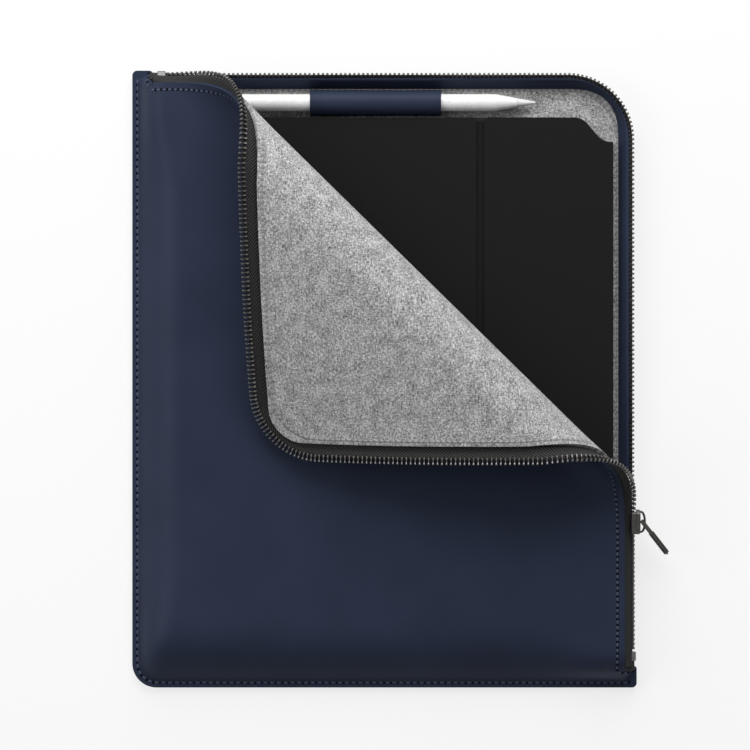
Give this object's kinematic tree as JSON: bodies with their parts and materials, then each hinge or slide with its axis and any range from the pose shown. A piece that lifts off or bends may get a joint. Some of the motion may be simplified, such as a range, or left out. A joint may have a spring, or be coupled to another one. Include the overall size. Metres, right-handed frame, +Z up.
{
  "type": "tablet keyboard case",
  "caption": "Zip-round leather folio with felt lining, one corner folded back, holding a folding tablet keyboard cover and a stylus in a loop.",
  "frame": {"origin": "middle of the back panel's underside, on the surface the folio lies on", "axes": "+X to the zipped long side, +Y to the zipped short end, +Z up out of the front"},
  "size_m": [0.2748, 0.318, 0.0573],
  "materials": {
    "navy_leather": "smooth coated leather, low sheen",
    "grey_felt": "pressed wool felt, mottled",
    "black_tape": "woven zip tape",
    "gunmetal": "dark metal plating",
    "white_gloss": "gloss white",
    "white_nib": "satin white",
    "black_cover": "fine matt coating",
    "dark_lining": "brushed microfibre",
    "magnet": "nickel plating",
    "contact": "gold plating",
    "deck": "matt",
    "membrane": "matt",
    "keycap": "matt"
  },
  "bodies": {
    "folio": {"back_panel": "navy_leather", "back_lining": "grey_felt", "zip_facing": "navy_leather", "zip_tape_back": "black_tape", "zip_teeth_back": "gunmetal", "front_panel": "navy_leather", "front_lining": "grey_felt", "zip_tape_front": "black_tape", "zip_teeth_front": "gunmetal", "zip_top_stop": "gunmetal", "zip_bottom_stop": "gunmetal", "stylus_loop": "navy_leather", "front_fold": "navy_leather", "lining_fold": "grey_felt", "zip_tape_fold": "black_tape", "zip_teeth_fold": "gunmetal"},
    "flap": {"front_flap": "navy_leather", "flap_lining": "grey_felt", "zip_tape_flap": "black_tape", "zip_teeth_flap": "gunmetal"},
    "slider": {"slider_body": "gunmetal", "slider_bridge": "gunmetal"},
    "pull": {"pull_tab": "gunmetal"},
    "stylus": {"stylus_barrel": "white_gloss", "stylus_nib": "white_nib"},
    "keyboard_cover": {"cover_wide_panel": "black_cover", "cover_narrow_panel": "black_cover", "cover_groove_web": "black_cover", "cover_spine": "black_cover", "cover_magnets": "magnet", "cover_inner_lining": "dark_lining", "cover_contacts": "contact", "keyboard_base": "black_cover", "keyboard_deck": "deck", "key_membrane": "membrane"},
    "keys": {"keycaps": "keycap"}
  },
  "joints": [
    {"name": "flap_turn", "type": "hinge", "parent": "folio", "child": "flap", "pos_m": [0.02236, 0.02275, 0.035], "axis": [-0.7133, 0.7009, 0], "range_deg": [0, 110], "deforming": ["front_fold", "lining_fold", "zip_tape_fold", "zip_teeth_fold"]},
    {"name": "slider_travel", "type": "slide", "parent": "folio", "child": "slider", "axis": [0, -1, 0], "range_m": [0, 0.06], "deforming": ["zip_teeth_front"]},
    {"name": "pull_swing", "type": "hinge", "parent": "slider", "child": "pull", "pos_m": [0.13225, -0.0732, 0.0136], "axis": [0, 0, 1], "range_deg": [-28, 130]},
    {"name": "stylus_slide", "type": "slide", "parent": "folio", "child": "stylus", "axis": [1, 0, 0], "range_m": [0, 0.033]},
    {"name": "cover_slide", "type": "slide", "parent": "folio", "child": "keyboard_cover", "axis": [-1, 0, 0], "range_m": [-0.002, 0.014]},
    {"name": "key_travel", "type": "slide", "parent": "keyboard_cover", "child": "keys", "axis": [0, 0, -1], "range_m": [0, 0.0004], "stiffness_N_per_m": 3000, "springref_m": -0.0005}
  ]
}
